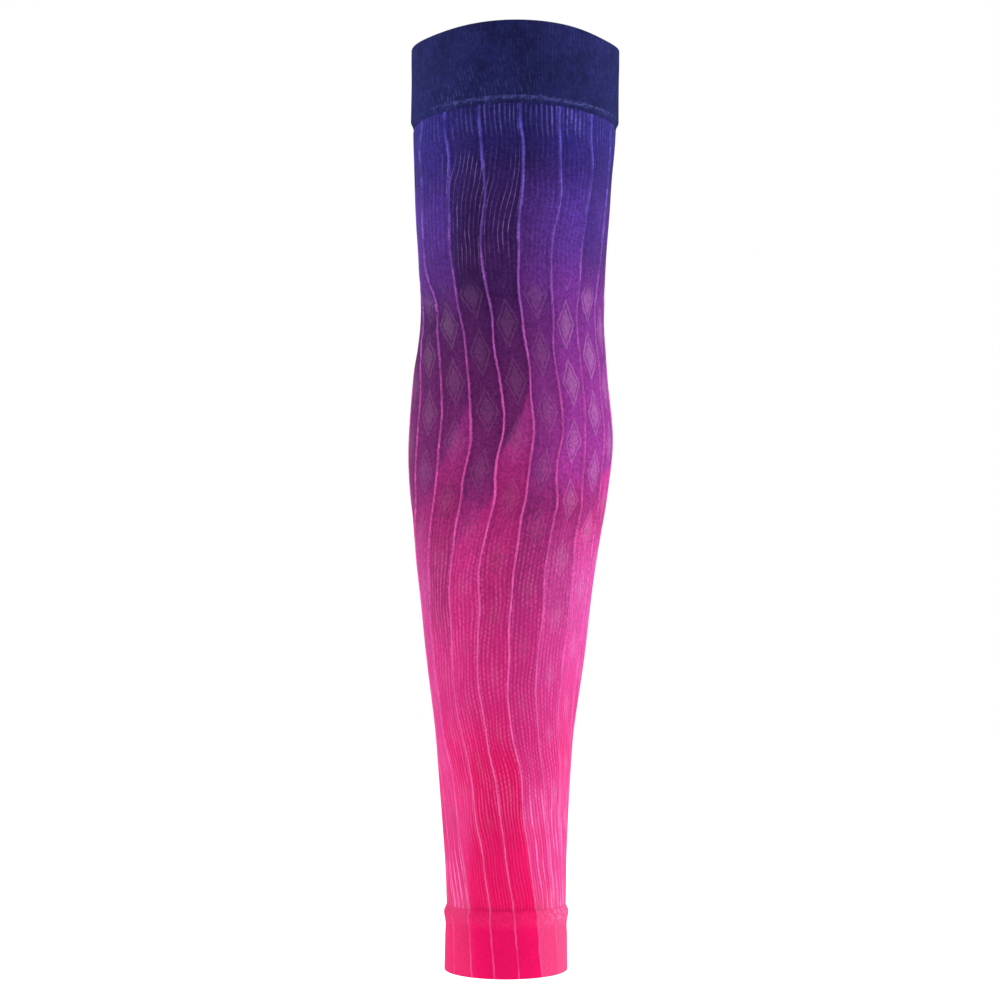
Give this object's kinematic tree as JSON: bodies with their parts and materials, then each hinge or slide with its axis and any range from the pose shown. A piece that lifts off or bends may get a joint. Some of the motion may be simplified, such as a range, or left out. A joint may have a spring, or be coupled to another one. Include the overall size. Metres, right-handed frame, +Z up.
{
  "type": "knitted compression arm sleeve",
  "caption": "Knitted compression arm sleeve in its worn form: a long tapered ribbed tube, open at both ends, with a doubled upper cuff and a doubled wrist cuff.",
  "frame": {"origin": "middle of the upper mouth, at the level of the upper cuff's turned edge, where the arm goes in", "axes": "+Z up along the arm towards the shoulder, -Y the front of the sleeve, +X to the right as the front is seen"},
  "size_m": [0.0962, 0.0944, 0.42],
  "materials": {
    "upper_cuff_knit": "matt fine knit, navy",
    "tube_knit": "ribbed knit dyed from navy through violet and magenta to pink",
    "wrist_cuff_knit": "plain knit, bright pink"
  },
  "bodies": {
    "root": {"upper_cuff": "upper_cuff_knit", "ribbed_tube": "tube_knit", "wrist_cuff": "wrist_cuff_knit"}
  },
  "joints": []
}
